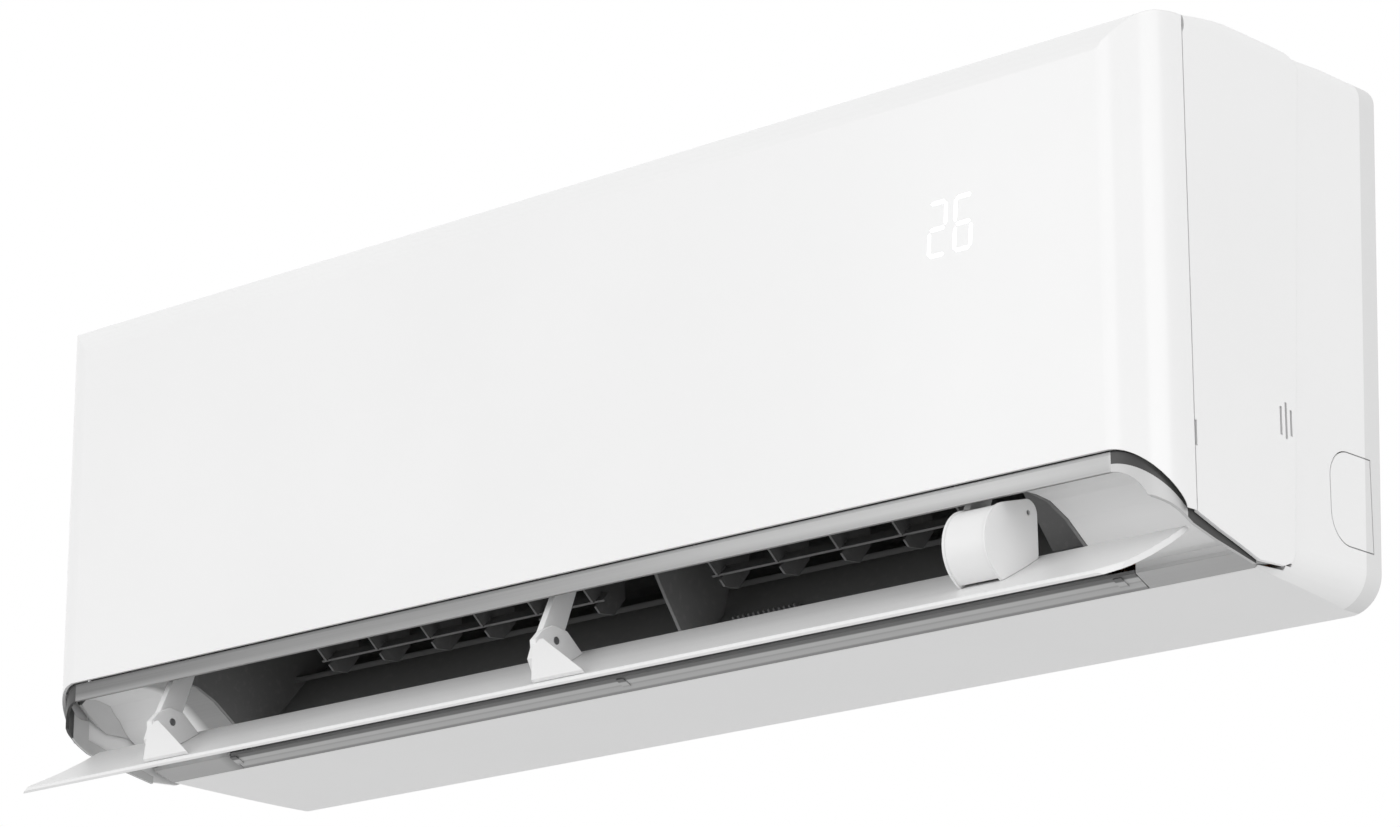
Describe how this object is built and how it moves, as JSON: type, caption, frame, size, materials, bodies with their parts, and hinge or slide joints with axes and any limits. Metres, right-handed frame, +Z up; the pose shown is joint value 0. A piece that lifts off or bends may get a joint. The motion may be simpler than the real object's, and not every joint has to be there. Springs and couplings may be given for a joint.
{
  "type": "wall mounted air conditioner indoor unit",
  "caption": "Wide white wall mounted split air conditioner indoor unit with a smooth front, satin mouth trim and an open air flap over a dark outlet.",
  "frame": {"origin": "centre of the wall plate on its wall face", "axes": "+Z up, -Y out of the wall towards the room, +X to the right as seen from the room"},
  "size_m": [0.943, 0.2728, 0.3532],
  "materials": {
    "casing_white": "satin",
    "panel_white": "gloss",
    "inner_plastic": "matt",
    "filter_mesh": "matt",
    "satin_trim": "satin",
    "satin_land": "satin",
    "duct_plastic": "matt",
    "sill_grey": "satin",
    "flap_white": "satin",
    "vane_plastic": "matt",
    "fan_plastic": "matt",
    "steel": "brushed",
    "motor_shell": "satin",
    "rubber_black": "matt",
    "fin_aluminium": "satin",
    "copper": "satin",
    "nut_brass": "satin",
    "board_green": "satin",
    "terminal_black": "matt",
    "display": "gloss"
  },
  "bodies": {
    "casing": {"rear_case": "casing_white", "knockout_covers": "casing_white", "front_case": "casing_white", "top_grille": "inner_plastic", "drain_tray": "inner_plastic", "electrical_box": "inner_plastic", "filter_left": "filter_mesh", "filter_right": "filter_mesh", "mouth_trim": "satin_trim", "end_land_left": "satin_land", "end_land_right": "satin_land", "outlet_duct": "duct_plastic", "duct_divider": "duct_plastic", "ion_comb": "duct_plastic", "outlet_sill": "sill_grey", "sill_clips": "sill_grey", "mounting_plate": "steel", "case_screws": "steel", "motor_clamp": "steel", "evaporator_plates": "steel", "arm_motor": "motor_shell", "vane_motors": "motor_shell", "fan_motor": "motor_shell", "fan_bearing": "rubber_black", "drain_plug": "rubber_black", "evaporator_fins": "fin_aluminium", "evaporator_tubes": "copper", "gas_pipe": "copper", "liquid_pipe": "copper", "flare_nuts": "nut_brass", "main_board": "board_green", "terminal_block": "terminal_black"},
    "panel": {"front_panel": "panel_white", "display_unit": "display"},
    "button": {"aux_button": "inner_plastic"},
    "arms": {"arm_shaft": "steel", "flap_arm_left": "flap_white", "flap_arm_center": "flap_white", "flap_arm_right": "flap_white", "flap_pins": "steel"},
    "flap": {"flap": "flap_white", "flap_bracket_left": "flap_white", "flap_bracket_center": "flap_white", "tilt_housing": "flap_white", "tilt_motor": "motor_shell"},
    "fan": {"crossflow_fan": "fan_plastic", "fan_shaft": "steel"},
    "vane_left_1": {"vane_left_1": "vane_plastic"},
    "vane_left_2": {"vane_left_2": "vane_plastic"},
    "vane_left_3": {"vane_left_3": "vane_plastic"},
    "vane_left_4": {"vane_left_4": "vane_plastic"},
    "vane_left_5": {"vane_left_5": "vane_plastic"},
    "vane_left_6": {"vane_left_6": "vane_plastic"},
    "link_left": {"link_left": "vane_plastic"},
    "vane_right_1": {"vane_right_1": "vane_plastic"},
    "vane_right_2": {"vane_right_2": "vane_plastic"},
    "vane_right_3": {"vane_right_3": "vane_plastic"},
    "vane_right_4": {"vane_right_4": "vane_plastic"},
    "vane_right_5": {"vane_right_5": "vane_plastic"},
    "link_right": {"link_right": "vane_plastic"}
  },
  "joints": [
    {"name": "panel_hinge", "type": "hinge", "parent": "casing", "child": "panel", "pos_m": [0, -0.21254, 0.12], "axis": [1, 0, 0], "range_deg": [-55, 0]},
    {"name": "arms_swing", "type": "hinge", "parent": "casing", "child": "arms", "pos_m": [0, -0.21161, -0.12549], "axis": [1, 0, 0], "range_deg": [0, 83.5]},
    {"name": "flap_tilt", "type": "hinge", "parent": "arms", "child": "flap", "pos_m": [0, -0.23118, -0.17247], "axis": [1, 0, 0], "range_deg": [-135.5, 0]},
    {"name": "fan_spin", "type": "hinge", "parent": "casing", "child": "fan", "pos_m": [0, -0.11196, -0.02995], "axis": [1, 0, 0], "continuous": true},
    {"name": "button_press", "type": "slide", "parent": "casing", "child": "button", "axis": [0, 1, 0], "range_m": [0, 0.0012]},
    {"name": "vane_left_1_turn", "type": "hinge", "parent": "casing", "child": "vane_left_1", "pos_m": [-0.267, -0.17405, -0.09648], "axis": [0, -0.7646, 0.6445], "range_deg": [-30, 30]},
    {"name": "vane_left_2_turn", "type": "hinge", "parent": "casing", "child": "vane_left_2", "pos_m": [-0.218, -0.17405, -0.09648], "axis": [0, -0.7646, 0.6445], "range_deg": [-30, 30]},
    {"name": "vane_left_3_turn", "type": "hinge", "parent": "casing", "child": "vane_left_3", "pos_m": [-0.169, -0.17405, -0.09648], "axis": [0, -0.7646, 0.6445], "range_deg": [-30, 30]},
    {"name": "vane_left_4_turn", "type": "hinge", "parent": "casing", "child": "vane_left_4", "pos_m": [-0.12, -0.17405, -0.09648], "axis": [0, -0.7646, 0.6445], "range_deg": [-30, 30]},
    {"name": "vane_left_5_turn", "type": "hinge", "parent": "casing", "child": "vane_left_5", "pos_m": [-0.071, -0.17405, -0.09648], "axis": [0, -0.7646, 0.6445], "range_deg": [-30, 30]},
    {"name": "vane_left_6_turn", "type": "hinge", "parent": "casing", "child": "vane_left_6", "pos_m": [-0.022, -0.17405, -0.09648], "axis": [0, -0.7646, 0.6445], "range_deg": [-30, 30]},
    {"name": "link_left_slide", "type": "slide", "parent": "casing", "child": "link_left", "axis": [1, 0, 0], "range_m": [-0.01, 0.01]},
    {"name": "vane_right_1_turn", "type": "hinge", "parent": "casing", "child": "vane_right_1", "pos_m": [0.084, -0.17405, -0.09648], "axis": [0, -0.7646, 0.6445], "range_deg": [-30, 30]},
    {"name": "vane_right_2_turn", "type": "hinge", "parent": "casing", "child": "vane_right_2", "pos_m": [0.133, -0.17405, -0.09648], "axis": [0, -0.7646, 0.6445], "range_deg": [-30, 30]},
    {"name": "vane_right_3_turn", "type": "hinge", "parent": "casing", "child": "vane_right_3", "pos_m": [0.182, -0.17405, -0.09648], "axis": [0, -0.7646, 0.6445], "range_deg": [-30, 30]},
    {"name": "vane_right_4_turn", "type": "hinge", "parent": "casing", "child": "vane_right_4", "pos_m": [0.231, -0.17405, -0.09648], "axis": [0, -0.7646, 0.6445], "range_deg": [-30, 30]},
    {"name": "vane_right_5_turn", "type": "hinge", "parent": "casing", "child": "vane_right_5", "pos_m": [0.28, -0.17405, -0.09648], "axis": [0, -0.7646, 0.6445], "range_deg": [-30, 30]},
    {"name": "link_right_slide", "type": "slide", "parent": "casing", "child": "link_right", "axis": [1, 0, 0], "range_m": [-0.01, 0.01]}
  ],
  "couplings": [
    {"joint": "flap_tilt", "follows": "arms_swing", "ratio": -1.6228},
    {"joint": "vane_left_2_turn", "follows": "vane_left_1_turn", "ratio": 1},
    {"joint": "vane_left_3_turn", "follows": "vane_left_1_turn", "ratio": 1},
    {"joint": "vane_left_4_turn", "follows": "vane_left_1_turn", "ratio": 1},
    {"joint": "vane_left_5_turn", "follows": "vane_left_1_turn", "ratio": 1},
    {"joint": "vane_left_6_turn", "follows": "vane_left_1_turn", "ratio": 1},
    {"joint": "link_left_slide", "follows": "vane_left_1_turn", "m_per_rad": 0.019099},
    {"joint": "vane_right_2_turn", "follows": "vane_right_1_turn", "ratio": 1},
    {"joint": "vane_right_3_turn", "follows": "vane_right_1_turn", "ratio": 1},
    {"joint": "vane_right_4_turn", "follows": "vane_right_1_turn", "ratio": 1},
    {"joint": "vane_right_5_turn", "follows": "vane_right_1_turn", "ratio": 1},
    {"joint": "link_right_slide", "follows": "vane_right_1_turn", "m_per_rad": 0.019099}
  ]
}
